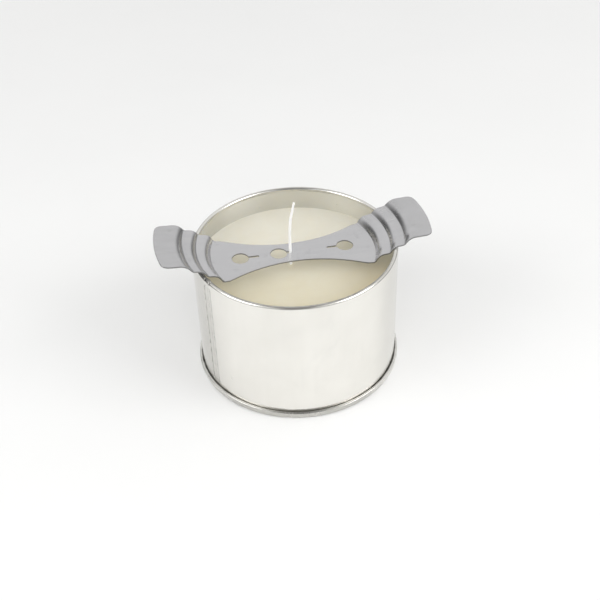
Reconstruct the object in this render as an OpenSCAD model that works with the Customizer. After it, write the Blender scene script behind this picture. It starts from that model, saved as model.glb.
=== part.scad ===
// Round tinplate candle mold, 3 in across and 2 in tall, with a poured
// candle in it and a stamped wick-centring bar lying across its rim.
// Millimetres, +Z up. Origin: centre of the underside of the base seam.
// +X is to the right and +Y is away from the side that shows the side seam.

/* [Can] */
// Outside diameter over the rolled rim
rim_od = 76.2; // [72:0.1:84]
// Height from the standing ring to the top of the rim
can_h = 52; // [40:0.5:80]
// Tinplate thickness
sheet = 0.28; // [0.22:0.01:0.3]
// Outside diameter of the rolled rim bead
bead_d = 1.65; // [1.4:0.05:1.8]
// Height of the double seam round the base
seam_h = 2.6; // [2.4:0.1:3]
// Height of the base panel above the standing ring
panel_z = 2.2; // [2:0.1:2.4]

/* [Side seam] */
// Direction of the folded side seam, seen from above
seam_az = -146; // [-180:1:180]
// Width of the folded side seam
lock_w = 3.8; // [3:0.1:5]

/* [Candle] */
// Height of the wax surface
wax_z = 41.8; // [30:0.1:44]
// Diameter of the wick inside the wax
wick_d = 1.0; // [0.8:0.05:1.1]
// Diameter of the wick above the wax
free_d = 0.9; // [0.7:0.05:0.9]
// Height of the tip of the wick
wick_tip = 69.9; // [60:0.1:90]

/* [Wick bar] */
// Sheet thickness of the bar
bar_t = 0.5; // [0.4:0.05:0.6]
// Overall length of the bar over its two rounded tabs
bar_l = 101.4; // [96:0.1:110]
// Width of the bar across its stepped ends
bar_w = 26; // [24:0.5:28]
// Width of the bar at its waist
waist_w = 11; // [10:0.5:14]
// Radius of the two round cuts that form the waist
waist_r = 49.4; // [45:0.1:56]
// Radius of the tab corners
corner_r = 3; // [2:0.5:4]
// Turn of the bar about the can's axis
bar_turn = 11.2; // [-90:0.1:90]
// Lean of the bar, left end higher, as it sits in the rim
bar_lean = 1.8; // [0:0.1:1.8]
// Shift of the bar off the can's axis
bar_shift = -0.75; // [-0.75:0.05:0]
// Radius of the round part of each keyhole
hole_r = 3.1; // [2.8:0.1:3.4]
// Width of the two spare keyhole slots
slot_w = 0.9; // [0.7:0.1:1.2]

/* [Hidden] */
$fn = 96;

wall_r = rim_od / 2;              // outside of the wall, flush with the bead
wall_c = wall_r - sheet / 2;      // middle of the wall sheet
wall_in = wall_r - sheet;         // inside of the wall
curl_r = bead_d / 2 - sheet / 2;  // bend radius of the rolled rim
curl_c = wall_r - bead_d / 2;     // centre of the rolled rim
curl_z = can_h - bead_d / 2;

// Layers of the double seam, from the inside out, all on their mid-lines
chuck_c = wall_in - 0.06 - sheet / 2;
cover_hook_c = wall_r + 0.1 + sheet / 2;
body_hook_c = cover_hook_c + 0.12 + sheet;
cover_c = body_hook_c + 0.14 + sheet;
fold_z = 2 * sheet + 0.06;        // mid-line of the wall's outward flange

lock_in = wall_in - 3 * sheet;    // inside of the folded side seam
lock_z0 = panel_z + 0.5;
lock_z1 = curl_z - curl_r - sheet - 0.3;

// Wick bar: radii of the lower folds and the rise of each step
r_step1 = rim_od / 2 - 7.4;
r_step2 = rim_od / 2 - 2.4;
r_step3 = rim_od / 2 + 2.5;
run1 = 1.25;
run2 = 1.4;
run3 = 1.7;
rise1 = 3.4;
rise2 = 2.9;
rise3 = 3.1;
fold_s = 0.165;                   // shift from the top fold to the mid-line fold
bar_z = can_h - 4.71;             // underside of the web at the bar's middle
hole_u = [-19.8, -5.4, 19.8];     // keyholes along the bar
wick_u = -1;                      // the wick's place along the bar
slot_reach = 7;                   // slot end, from the centre of its hole

wick_x = bar_shift + (wick_u * cos(bar_lean) + bar_t / 2 * sin(bar_lean)) * cos(bar_turn);
wick_y = (wick_u * cos(bar_lean) + bar_t / 2 * sin(bar_lean)) * sin(bar_turn);

panel_top = panel_z + sheet / 2;
sticker_h = 0.5;
sticker_z = panel_top + 0.02;
tab_z = sticker_z + sticker_h + 0.02;
tab_t = 0.25;
tab_r = 6.25;
neck_r = 1.25;
neck_h = 4;

// Closed outline of a bent strip of thickness t along the open path p
function seg_n(a, b) = let (d = b - a, l = norm(d)) [d[1] / l, -d[0] / l];
function side(p, i, t) =
    i == 0 ? p[0] + seg_n(p[0], p[1]) * t :
    i == len(p) - 1 ? p[i] + seg_n(p[i - 1], p[i]) * t :
    let (a = seg_n(p[i - 1], p[i]), b = seg_n(p[i], p[i + 1]), m = (a + b) / norm(a + b))
    p[i] + m * t / (m * b);
function strip(p, t) = concat(
    [for (i = [0 : len(p) - 1]) side(p, i, t / 2)],
    [for (i = [len(p) - 1 : -1 : 0]) side(p, i, -t / 2)]);
function arc(c, r, a0, a1, n) =
    [for (i = [0 : n]) c + r * [cos(a0 + (a1 - a0) * i / n), sin(a0 + (a1 - a0) * i / n)]];

module ring(r0, r1, z0, z1) {
    rotate_extrude() polygon([[r0, z0], [r1, z0], [r1, z1], [r0, z1]]);
}

// A sector of a ring at the side seam, w wide
module seam_slice(r0, r1, z0, z1, w, shift = 0) {
    intersection() {
        ring(r0, r1, z0, z1);
        rotate([0, 0, seam_az])
            translate([r0 - 4, shift - w / 2, z0 - 1]) cube([r1 - r0 + 8, w, z1 - z0 + 2]);
    }
}

// One rolled sheet: body hook, wall and inward-rolled rim, with the folded side seam
module mold_wall() {
    color([0.86, 0.86, 0.84])
    difference() {
        union() {
            rotate_extrude() polygon(strip(concat(
                [[body_hook_c, seam_h - 0.6], [body_hook_c, fold_z + 0.25],
                 [body_hook_c - 0.25, fold_z], [wall_c + 0.2, fold_z], [wall_c, fold_z + 0.2]],
                arc([curl_c, curl_z], curl_r, 0, 285, 19)), sheet));
            seam_slice(lock_in, wall_in + 0.08, lock_z0, lock_z1, lock_w);
        }
        // gap between the hooks of the fold, open on one side
        seam_slice(wall_in - 1.5 * sheet - 0.1, wall_in - 1.5 * sheet + 0.1,
                   lock_z0 - 1, lock_z1 + 1, lock_w, 0.6);
        // the fold is pressed a little below the outside of the wall
        seam_slice(wall_r - 0.06, wall_r + 1, lock_z0 + 0.5, lock_z1 - 0.5, lock_w - 0.3);
    }
}

// Stamped base: recessed panel, chuck wall and the seam folded over the body hook
module mold_base() {
    color([0.80, 0.80, 0.78])
    rotate_extrude() polygon(strip([
        [0, panel_z], [chuck_c - 0.5, panel_z], [chuck_c, panel_z - 0.5],
        [chuck_c, sheet / 2 + 0.3], [chuck_c + 0.3, sheet / 2], [cover_c - 0.4, sheet / 2],
        [cover_c, sheet / 2 + 0.4], [cover_c, seam_h - sheet / 2 - 0.3],
        [cover_c - 0.3, seam_h - sheet / 2], [cover_hook_c + 0.2, seam_h - sheet / 2],
        [cover_hook_c, seam_h - sheet / 2 - 0.2], [cover_hook_c, fold_z + sheet / 2 + 0.25]], sheet));
}

// Ring of sealing compound under the wall's flange, inside the double seam
module seam_compound() {
    color([0.45, 0.44, 0.40]) ring(wall_c + 0.05, body_hook_c - 0.2, sheet + 0.02, fold_z - sheet / 2 - 0.02);
}

// Line of cement in the fold of the side seam
module side_seam_cement() {
    color([0.7, 0.68, 0.6])
    seam_slice(wall_in - 1.5 * sheet - 0.07, wall_in - 1.5 * sheet + 0.07,
               lock_z0 + 0.3, lock_z1 - 0.3, lock_w - 1.0, 0.2);
}

// Poured wax with its small meniscus, cast round the wick and its foot
module wax() {
    color([0.93, 0.90, 0.80])
    difference() {
        rotate_extrude() polygon([[0, panel_top + 0.02], [wall_in - 0.7, panel_top + 0.02],
            [wall_in - 0.02, panel_top + 0.7], [wall_in - 0.02, wax_z + 0.35],
            [wall_in - 0.3, wax_z + 0.2], [wall_in - 1.2, wax_z], [0, wax_z]]);
        seam_slice(lock_in - 0.02, wall_in + 1, panel_top - 1, wax_z + 2, lock_w + 0.04);
        translate([wick_x, wick_y, 0]) rotate_extrude() polygon([
            [0, 0], [7.02, 0], [7.02, sticker_z + sticker_h + 0.01], [tab_r + 0.02, sticker_z + sticker_h + 0.01],
            [tab_r + 0.02, tab_z + tab_t + 0.02], [neck_r + 0.02, tab_z + tab_t + 0.02],
            [neck_r + 0.02, tab_z + neck_h + 0.02], [wick_d / 2 + 0.02, tab_z + neck_h + 0.02],
            [wick_d / 2 + 0.02, wax_z + 2], [0, wax_z + 2]]);
    }
}

// Wick from its foot up to the wax surface
module wick() {
    color([0.95, 0.95, 0.92])
    translate([wick_x, wick_y, tab_z + 0.05]) cylinder(d = wick_d, h = wax_z - tab_z - 0.15);
}

// Crimped metal foot that holds the wick on the base
module wick_sustainer() {
    color([0.75, 0.75, 0.74])
    translate([wick_x, wick_y, tab_z]) rotate_extrude() polygon([
        [wick_d / 2 + 0.03, 0], [tab_r, 0], [tab_r, tab_t], [neck_r, tab_t],
        [neck_r, neck_h - 0.4], [neck_r - 0.2, neck_h], [wick_d / 2 + 0.03, neck_h]]);
}

// Adhesive dot between the foot and the base
module wick_sticker() {
    color([0.96, 0.95, 0.9])
    translate([wick_x, wick_y, sticker_z]) cylinder(r = 7, h = sticker_h);
}

// Wick above the wax, up through the bar
module wick_free_end() {
    color([0.95, 0.95, 0.92])
    translate([wick_x, wick_y, wax_z + 0.1]) cylinder(d = free_d, h = wick_tip - wax_z - 0.1);
}

function tab_end(s) = let (r = bar_l / 2, y = bar_w / 2 - corner_r, d = r - corner_r,
                           x = sqrt(d * d - y * y), a = atan2(y, x))
    s > 0 ? concat(arc([x, -y], corner_r, -90, -a - 6, 5), arc([0, 0], r, -a, a, 14),
                   arc([x, y], corner_r, a + 6, 90, 5))
          : concat(arc([-x, y], corner_r, 90, 174 - a, 5), arc([0, 0], r, 180 - a, 180 + a, 14),
                   arc([-x, -y], corner_r, 186 + a, 270, 5));

module place_bar() {
    translate([bar_shift, 0, bar_z]) rotate([0, 0, bar_turn]) rotate([0, bar_lean, 0]) children();
}

// Stamped bar: flat web with three keyholes, and three steps up to a lifting tab at each end
module wick_bar() {
    color([0.70, 0.70, 0.71])
    place_bar() difference() {
        intersection() {
            translate([0, 0, bar_t / 2]) rotate_extrude() polygon(strip([
                [0, 0], [r_step1 + fold_s, 0], [r_step1 + run1 + fold_s, rise1],
                [r_step2 + fold_s, rise1], [r_step2 + run2 + fold_s, rise1 + rise2],
                [r_step3 + fold_s, rise1 + rise2], [r_step3 + run3 + fold_s, rise1 + rise2 + rise3],
                [bar_l / 2 + 2, rise1 + rise2 + rise3]], bar_t));
            translate([0, 0, -5]) linear_extrude(25) polygon(concat(tab_end(1), tab_end(-1)));
        }
        for (s = [-1, 1]) translate([0, s * (waist_w / 2 + waist_r), -2]) cylinder(r = waist_r, h = bar_t + 4);
        for (u = hole_u) translate([u, 0, -2]) cylinder(r = hole_r, h = bar_t + 4);
        translate([hole_u[0], -slot_w / 2, -2]) cube([slot_reach, slot_w, bar_t + 4]);
        translate([hole_u[2] - slot_reach, -slot_w / 2, -2]) cube([slot_reach, slot_w, bar_t + 4]);
        translate([hole_u[1], -(free_d + 0.1) / 2, -2])
            cube([wick_u - hole_u[1] + free_d / 2 + 0.08, free_d + 0.1, bar_t + 4]);
    }
}

mold_wall();
mold_base();
seam_compound();
side_seam_cement();
wax();
wick();
wick_sustainer();
wick_sticker();
wick_free_end();
wick_bar();
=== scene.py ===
"""A round tinplate candle mould, filled with wax, with a steel bar that centres its braided wick.

The can stands on the floor, its axis on +Z through the origin; the camera looks from -Y, so +X is
right and +Y is back. The bar lies across the rim, nearly along X, and the wick rises through it.
Dimensions are in millimetres unless a comment says otherwise; meshes are made in metres.
Shader coordinates are in metres.
"""
import math
import bpy
import numpy as np
from mathutils import Matrix, Vector
from mathutils.geometry import delaunay_2d_cdt


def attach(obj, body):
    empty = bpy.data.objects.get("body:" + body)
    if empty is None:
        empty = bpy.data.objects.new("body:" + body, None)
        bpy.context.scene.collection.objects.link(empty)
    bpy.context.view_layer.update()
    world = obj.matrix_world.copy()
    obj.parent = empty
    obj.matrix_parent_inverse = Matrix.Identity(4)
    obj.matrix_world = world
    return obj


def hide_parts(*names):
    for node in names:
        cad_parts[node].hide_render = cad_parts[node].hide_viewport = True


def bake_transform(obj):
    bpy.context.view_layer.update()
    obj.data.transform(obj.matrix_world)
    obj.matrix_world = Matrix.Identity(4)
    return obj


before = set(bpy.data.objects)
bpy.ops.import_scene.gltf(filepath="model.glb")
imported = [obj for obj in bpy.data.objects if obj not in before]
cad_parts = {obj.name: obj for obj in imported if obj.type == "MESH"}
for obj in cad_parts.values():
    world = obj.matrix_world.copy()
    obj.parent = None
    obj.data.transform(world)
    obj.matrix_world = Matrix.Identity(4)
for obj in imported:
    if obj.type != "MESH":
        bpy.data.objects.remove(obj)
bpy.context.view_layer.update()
scene = bpy.context.scene
MM = 0.001

# --------------------------------------------------------------------------------------
# driving dimensions
# --------------------------------------------------------------------------------------
RIM_RADIUS = 38.1
CAN_HEIGHT = 52.0
SHEET = 0.28                            # tinplate thickness
BEAD = 1.65                             # outside diameter of the rolled rim
BASE_SEAM_HEIGHT = 2.6
PANEL_Z = 2.2                           # middle of the raised base panel
SEAM_ANGLE = math.radians(-146)         # where the side seam stands
LOCK_WIDTH = 3.8                        # width of the side seam's fold
WAX_Z = 41.8
BAR_SHEET = 0.5
BAR_LENGTH = 101.4
BAR_WIDTH = 26.0
WAIST_WIDTH = 11.0
WAIST_RADIUS = 49.4
CORNER_RADIUS = 3.0
BAR_TURN = math.radians(11.2)           # about Z
BAR_LEAN = math.radians(1.8)            # right end down
BAR_SHIFT = -0.75                       # along X
BAR_Z = CAN_HEIGHT - 4.71
KEYHOLE_RADIUS = 3.1
WICK_ALONG_BAR = -1.0

# middle of the sheet in the can's sections
WALL_R = RIM_RADIUS - SHEET / 2
WALL_INSIDE_R = RIM_RADIUS - SHEET
CURL_RADIUS = BEAD / 2 - SHEET / 2
CURL_R = RIM_RADIUS - BEAD / 2
CURL_Z = CAN_HEIGHT - BEAD / 2
CHUCK_R = WALL_INSIDE_R - 0.06 - SHEET / 2
COVER_HOOK_R = RIM_RADIUS + 0.1 + SHEET / 2
BODY_HOOK_R = COVER_HOOK_R + 0.12 + SHEET
COVER_R = BODY_HOOK_R + 0.14 + SHEET
FOLD_Z = 2 * SHEET + 0.06
PANEL_TOP = PANEL_Z + SHEET / 2
LOCK_BOTTOM = PANEL_Z + 0.5
LOCK_TOP = CURL_Z - CURL_RADIUS - SHEET - 0.3


def bar_to_can(along, across, height):
    """Bar coordinates to the can's."""
    cos_lean, sin_lean = math.cos(BAR_LEAN), math.sin(BAR_LEAN)
    cos_turn, sin_turn = math.cos(BAR_TURN), math.sin(BAR_TURN)
    x = along * cos_lean + height * sin_lean
    z = -along * sin_lean + height * cos_lean
    return (x * cos_turn - across * sin_turn + BAR_SHIFT,
            x * sin_turn + across * cos_turn,
            z + BAR_Z)


WICK_X, WICK_Y, _ = bar_to_can(WICK_ALONG_BAR, 0.0, BAR_SHEET / 2)


# --------------------------------------------------------------------------------------
# curve and mesh helpers
# --------------------------------------------------------------------------------------
def ease(start, end, value):
    """Smooth step from 0 at start to 1 at end."""
    t = np.clip((np.asarray(value, float) - start) / (end - start), 0.0, 1.0)
    return t * t * (3 - 2 * t)


def bell(offset, width):
    return np.exp(-(offset / width) ** 2)


def seam_arc(angle):
    """Signed arc length at the rim radius from the middle of the side seam."""
    return ((angle - SEAM_ANGLE + math.pi) % (2 * math.pi) - math.pi) * RIM_RADIUS


def seam_angles(fine_half, fine_step, coarse_degrees):
    """Angles once round from the seam: closely spaced within fine_half of it, wider elsewhere."""
    fine = np.arange(-fine_half, fine_half + 0.01, fine_step) / RIM_RADIUS
    edge = fine_half / RIM_RADIUS
    coarse = np.arange(edge, 2 * math.pi - edge, math.radians(coarse_degrees))[1:]
    return SEAM_ANGLE + np.concatenate([fine, coarse])


def make_mesh(name, verts, faces, sharp_degrees, **point_values):
    mesh = bpy.data.meshes.new(name)
    mesh.from_pydata([tuple(float(c) * MM for c in vert) for vert in verts], [],
                     [tuple(int(i) for i in face) for face in faces])
    mesh.update()
    mesh.validate()
    mesh.shade_smooth()
    mesh.set_sharp_from_angle(angle=math.radians(sharp_degrees))
    obj = bpy.data.objects.new(name, mesh)
    scene.collection.objects.link(obj)
    for key, values in point_values.items():
        attribute = mesh.attributes.new(key, "FLOAT", "POINT")
        attribute.data.foreach_set("value", np.asarray(values, dtype=np.float32))
    return obj


def rotated(vector, angle):
    c, s = math.cos(angle), math.sin(angle)
    return np.array([vector[0] * c - vector[1] * s, vector[0] * s + vector[1] * c])


def fillet_path(corners, radii, step):
    """Polyline with rounded corners: its points, and unit normals to the right of travel."""
    corners = [np.array(corner, float) for corner in corners]
    points, normals = [], []

    def add_line(start, end):
        run = end - start
        length = np.linalg.norm(run)
        if length < 1e-9:
            return
        normal = np.array([run[1], -run[0]]) / length
        count = max(1, int(math.ceil(length / step)))
        for i in range(count + 1):
            point = start + run * i / count
            if points and np.linalg.norm(points[-1] - point) < 1e-6:
                continue
            points.append(point)
            normals.append(normal)

    current = corners[0]
    for before, corner, after, radius in zip(corners, corners[1:], corners[2:], radii[1:]):
        arriving = (corner - before) / np.linalg.norm(corner - before)
        leaving = (after - corner) / np.linalg.norm(after - corner)
        turn = math.atan2(arriving[0] * leaving[1] - arriving[1] * leaving[0],
                          float(arriving @ leaving))
        tangent = radius * math.tan(abs(turn) / 2)
        start = corner - arriving * tangent
        add_line(current, start)
        sign = 1 if turn > 0 else -1
        centre = start + np.array([-arriving[1], arriving[0]]) * sign * radius
        count = max(3, int(math.ceil(abs(turn) * radius / (step * 0.8))) + 2)
        for j in range(1, count + 1):
            angle = turn * j / count
            heading = rotated(arriving, angle)
            points.append(centre + rotated(start - centre, angle))
            normals.append(np.array([heading[1], -heading[0]]))
        current = points[-1]
    add_line(current, corners[-1])
    return np.array(points), np.array(normals)


def revolve(angles, section, closed=True):
    """Sweep section(angle) -> ((n, 2) radius and z, n point values) once round the axis."""
    verts, values, faces = [], [], []
    for angle in angles:
        outline, outline_values = section(angle)
        radius, z = outline.T
        verts.append(np.c_[radius * math.cos(angle), radius * math.sin(angle), z])
        values.append(outline_values)
    size = len(verts[0])
    for i in range(len(angles)):
        a, b = i * size, ((i + 1) % len(angles)) * size
        for j in range(size if closed else size - 1):
            k = (j + 1) % size
            faces.append((a + j, b + j, b + k, a + k))
    return np.concatenate(verts), faces, np.concatenate(values)


# --------------------------------------------------------------------------------------
# shader helpers
# --------------------------------------------------------------------------------------
class Signal:
    """A node's output; arithmetic on it adds Math nodes, with the operands in written order."""

    def __init__(self, graph, socket):
        self.graph = graph
        self.socket = socket

    def __add__(self, other):
        return self.graph.math("ADD", self, other)

    def __radd__(self, other):
        return self.graph.math("ADD", other, self)

    def __sub__(self, other):
        return self.graph.math("SUBTRACT", self, other)

    def __rsub__(self, other):
        return self.graph.math("SUBTRACT", other, self)

    def __mul__(self, other):
        return self.graph.math("MULTIPLY", self, other)

    def __truediv__(self, other):
        return self.graph.math("DIVIDE", self, other)

    def __abs__(self):
        return self.graph.math("ABSOLUTE", self)

    def max(self, other):
        return self.graph.math("MAXIMUM", self, other)

    def fade(self, start, end, to=(0.0, 1.0), kind="LINEAR"):
        """Map start..end to the range `to`, clamped."""
        node = self.graph.node("ShaderNodeMapRange", interpolation_type=kind)
        for socket, value in zip(node.inputs, (self, start, end, *to)):
            self.graph.put(socket, value)
        return self.graph.out(node)

    def ease(self, start, end, to=(0.0, 1.0)):
        """The same, smoothed at both ends."""
        return self.fade(start, end, to, "SMOOTHSTEP")


class Graph:
    """Makes and joins nodes in an emptied node tree."""

    def __init__(self, owner):
        owner.use_nodes = True
        self.tree = owner.node_tree
        self.tree.nodes.clear()

    def node(self, kind, **settings):
        node = self.tree.nodes.new(kind)
        for key, value in settings.items():
            setattr(node, key, value)
        return node

    def out(self, node, key=0):
        return Signal(self, node.outputs[key])

    def put(self, socket, value):
        if isinstance(value, Signal):
            self.tree.links.new(value.socket, socket)
        else:
            socket.default_value = value

    def math(self, operation, *operands, clamp=False):
        node = self.node("ShaderNodeMath", operation=operation, use_clamp=clamp)
        for socket, value in zip(node.inputs, operands):
            self.put(socket, value)
        return self.out(node)

    def split(self, vector):
        node = self.node("ShaderNodeSeparateXYZ")
        self.put(node.inputs[0], vector)
        return [self.out(node, i) for i in range(3)]


class Material(Graph):
    """A Principled material."""

    def __init__(self, name):
        self.data = bpy.data.materials.new(name)
        super().__init__(self.data)
        self.output = self.node("ShaderNodeOutputMaterial")
        self.bsdf = self.node("ShaderNodeBsdfPrincipled")
        self.surface = self.out(self.bsdf)
        self.put(self.output.inputs[0], self.surface)
        self.position = self.out(self.node("ShaderNodeTexCoord"), "Object")

    def set(self, **values):
        for key, value in values.items():
            self.put(self.bsdf.inputs[key.replace("_", " ")], value)

    def vector(self, *parts):
        node = self.node("ShaderNodeCombineXYZ")
        for socket, value in zip(node.inputs, parts):
            self.put(socket, value)
        return self.out(node)

    def stretch(self, vector, factors):
        node = self.node("ShaderNodeVectorMath", operation="MULTIPLY")
        self.put(node.inputs[0], vector)
        node.inputs[1].default_value = factors
        return self.out(node)

    def noise(self, vector, scale, detail, rough=0.5, warp=0.0):
        node = self.node("ShaderNodeTexNoise")
        self.put(node.inputs["Vector"], vector)
        node.inputs["Scale"].default_value = scale
        node.inputs["Detail"].default_value = detail
        node.inputs["Roughness"].default_value = rough
        node.inputs["Distortion"].default_value = warp
        return self.out(node, "Fac")

    def cells(self, vector, scale, feature="F1"):
        node = self.node("ShaderNodeTexVoronoi", feature=feature)
        self.put(node.inputs["Vector"], vector)
        node.inputs["Scale"].default_value = scale
        return self.out(node, "Distance")

    def mix(self, factor, first, second, blend="MIX"):
        node = self.node("ShaderNodeMix", data_type="RGBA", blend_type=blend)
        self.put(node.inputs[0], factor)
        for socket, colour in ((node.inputs[6], first), (node.inputs[7], second)):
            self.put(socket, colour if isinstance(colour, Signal) else (*colour, 1))
        return self.out(node, 2)

    def tint(self, colour, factors):
        return self.mix(1.0, colour, factors, "MULTIPLY")

    def bump(self, height, strength, distance, normal=None):
        node = self.node("ShaderNodeBump")
        node.inputs["Strength"].default_value = strength
        node.inputs["Distance"].default_value = distance
        self.put(node.inputs["Height"], height)
        if normal is not None:
            self.put(node.inputs["Normal"], normal)
        return self.out(node)

    def radius(self, x, y):
        return self.math("SQRT", x * x + y * y)

    def unrolled(self):
        """Cylinder coordinates: arc length at the rim radius, z, distance from the axis."""
        x, y, z = self.split(self.position)
        arc = self.math("ARCTAN2", y, x) * (RIM_RADIUS * MM)
        return arc, z, self.radius(x, y)

    def attribute(self, name):
        return self.out(self.node("ShaderNodeAttribute", attribute_name=name), "Fac")

    def facing(self):
        node = self.node("ShaderNodeLayerWeight")
        node.inputs[0].default_value = 0.5
        return self.out(node, "Facing")


def assign(obj, material):
    obj.data.materials.clear()
    obj.data.materials.append(material.data)


# --------------------------------------------------------------------------------------
# materials
# --------------------------------------------------------------------------------------
def tinplate(name, tone, rough, shade_grime_strength, painted_side_light=0.0):
    """Tinned sheet: tone scales its colours; the fourth argument darkens the marked grooves, rim
    and foot with painted shade, in the seam partly grime; the fifth lightens its sides with a
    painted reflection.
    """
    m = Material(name)

    def toned(*rgb):
        return tuple(c * tone for c in rgb)

    arc, z, radius = m.unrolled()
    # long faint streaks up the wall, broader ones, and clouding
    streak = m.noise(m.vector(arc * 900.0, z * 14.0, radius * 900.0),
                     scale=1.0, detail=4, rough=0.6)
    broad = m.noise(m.vector(arc * 110.0, z * 22.0, radius), scale=1.0, detail=3)
    cloud = m.noise(m.position, scale=55.0, detail=5, rough=0.62, warp=0.4)
    fine = m.noise(m.position, scale=900.0, detail=3, rough=0.6)
    smudge = m.noise(m.position, scale=38.0, detail=6, rough=0.66, warp=1.2).ease(0.52, 0.74)
    mottle = streak * 0.15 + (broad * 0.25 + cloud * 0.6)
    colour = m.mix(mottle.fade(0.32, 0.68),
                   toned(0.845, 0.83, 0.785), toned(0.92, 0.905, 0.862))
    colour = m.mix(smudge * 0.30, colour, toned(0.80, 0.79, 0.755))
    # darker inside above the wax, as painted shade, and duller where the wax has left a film
    inside = radius.fade(37.7 * MM, 37.95 * MM, to=(1.0, 0.0))
    above_wax = z.fade(41.0 * MM, 41.6 * MM)
    film_and_inside_shade = inside * above_wax * z.fade(50.3 * MM, 50.6 * MM, to=(1.0, 0.0))
    colour = m.mix(film_and_inside_shade, colour, toned(0.60, 0.605, 0.594))
    # painted reflection: the sides are lightened where they would mirror the bright floor
    if painted_side_light:
        beside = abs(m.split(m.position)[0])
        colour = m.mix(beside.ease(22.0 * MM, 37.0 * MM, to=(0.0, painted_side_light)),
                       colour, (0.93, 0.92, 0.885))
    # painted shade: greyer where the surface turns away, more so on the left
    strength = m.split(m.position)[0].fade(-20.0 * MM, 20.0 * MM, to=(0.24, 0.16))
    colour = m.mix(m.facing().ease(0.53, 0.74) * strength, colour, toned(0.42, 0.42, 0.41))
    # painted shade: the marked grooves, rim and foot are darkened, in the seam partly grime
    patchy = m.noise(m.position, scale=520.0, detail=5, rough=0.7).fade(0.36, 0.60, to=(0.40, 1.0))
    groove = m.attribute("groove") * patchy
    colour = m.mix(groove * shade_grime_strength, colour, (0.085, 0.08, 0.07))
    # sparse hairline scratches
    cells = m.cells(m.vector(arc * 500.0, z * 60.0, radius * 500.0),
                    scale=1.0, feature="DISTANCE_TO_EDGE")
    sparse = m.noise(m.position, scale=120.0, detail=2).fade(0.55, 0.75)
    scratch = cells.fade(0.0, 0.02, to=(1.0, 0.0)) * sparse
    # each mark's share of roughness and of relief
    roughness = rough + (mottle - 0.5) * 0.14 + smudge * 0.10
    roughness = m.math("ADD", roughness, scratch * 0.12, clamp=True)
    roughness = m.math("ADD", roughness, (groove + film_and_inside_shade * 0.35) * 0.28, clamp=True)
    relief = streak * 0.5 + (fine * 0.2 + scratch * -0.15)
    m.set(Base_Color=colour, Metallic=1.0, Roughness=roughness,
          Normal=m.bump(relief, strength=0.10, distance=0.00006))
    return m


def stainless():
    m = Material("satin_stainless")
    # the grain runs along the bar: undo its turn
    unturned = m.node("ShaderNodeMapping")
    m.put(unturned.inputs[0], m.position)
    unturned.inputs["Rotation"].default_value = (0, 0, -BAR_TURN)
    x, y, z = m.split(m.out(unturned))
    grain = m.noise(m.vector(x * 60.0, y * 2600.0, z * 2600.0), scale=1.0, detail=4, rough=0.65)
    broad = m.noise(m.vector(x * 18.0, y * 500.0, z * 500.0), scale=1.0, detail=3)
    cloud = m.noise(m.position, scale=90.0, detail=5, rough=0.6, warp=0.5)
    spots = m.noise(m.position, scale=260.0, detail=4, rough=0.6).ease(0.60, 0.72)
    mottle = grain * 0.4 + (broad * 0.25 + cloud * 0.35)
    colour = m.mix(mottle.fade(0.34, 0.66), (0.64, 0.636, 0.652), (0.705, 0.70, 0.712))
    colour = m.mix(spots * 0.25, colour, (0.50, 0.50, 0.50))
    # duller towards the ends, where the bar is handled
    patchy = m.noise(m.position, scale=130.0, detail=3, rough=0.55, warp=0.6)
    held = abs(x).ease(34.0 * MM, 43.0 * MM) * patchy.fade(0.35, 0.65, to=(0.55, 1.0))
    colour = m.mix(held * 0.30, colour, (0.47, 0.47, 0.465))
    # darker and rougher on the cut edges, their darkness partly painted shade; painted shade also
    # in the dents and on the right wing's steps
    edge = m.attribute("edge")
    colour = m.mix(edge * 0.9, colour, (0.24, 0.24, 0.235))
    roughness = 0.25 + (mottle - 0.5) * 0.16 + edge * 0.25
    relief = grain * 0.6 + broad * 0.4
    m.set(Base_Color=colour, Metallic=1.0, Roughness=roughness,
          Normal=m.bump(relief, strength=0.05, distance=0.00004))
    return m


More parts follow.
